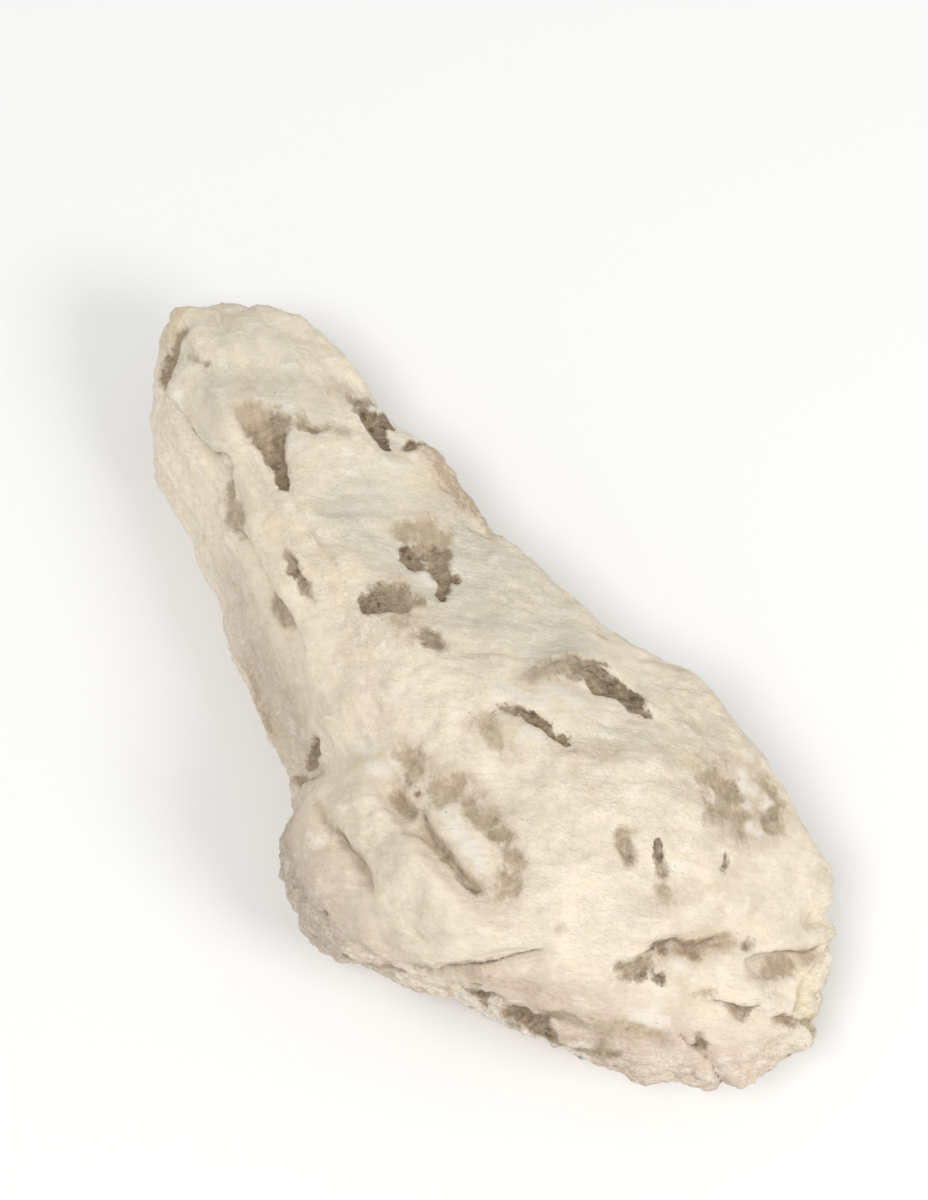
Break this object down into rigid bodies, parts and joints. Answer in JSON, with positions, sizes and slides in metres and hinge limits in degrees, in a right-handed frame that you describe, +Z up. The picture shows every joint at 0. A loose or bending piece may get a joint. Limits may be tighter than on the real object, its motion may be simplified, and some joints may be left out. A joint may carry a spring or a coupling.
{
  "type": "rough stone",
  "caption": "Hand-sized rough stone, pale feldspar with smoky quartz, narrow at one end and broad with a rounded lobe at the other, with a flat face to rest on.",
  "frame": {"origin": "middle of the footprint on the face the stone rests on", "axes": "+X along the stone from its narrow end to its broad end, +Z up from the face it rests on, +Y towards the higher long edge"},
  "size_m": [0.1188, 0.053, 0.0348],
  "materials": {
    "feldspar": "matte, rough broken surface"
  },
  "bodies": {
    "root": {"zebradorite_stone": "feldspar"}
  },
  "joints": []
}
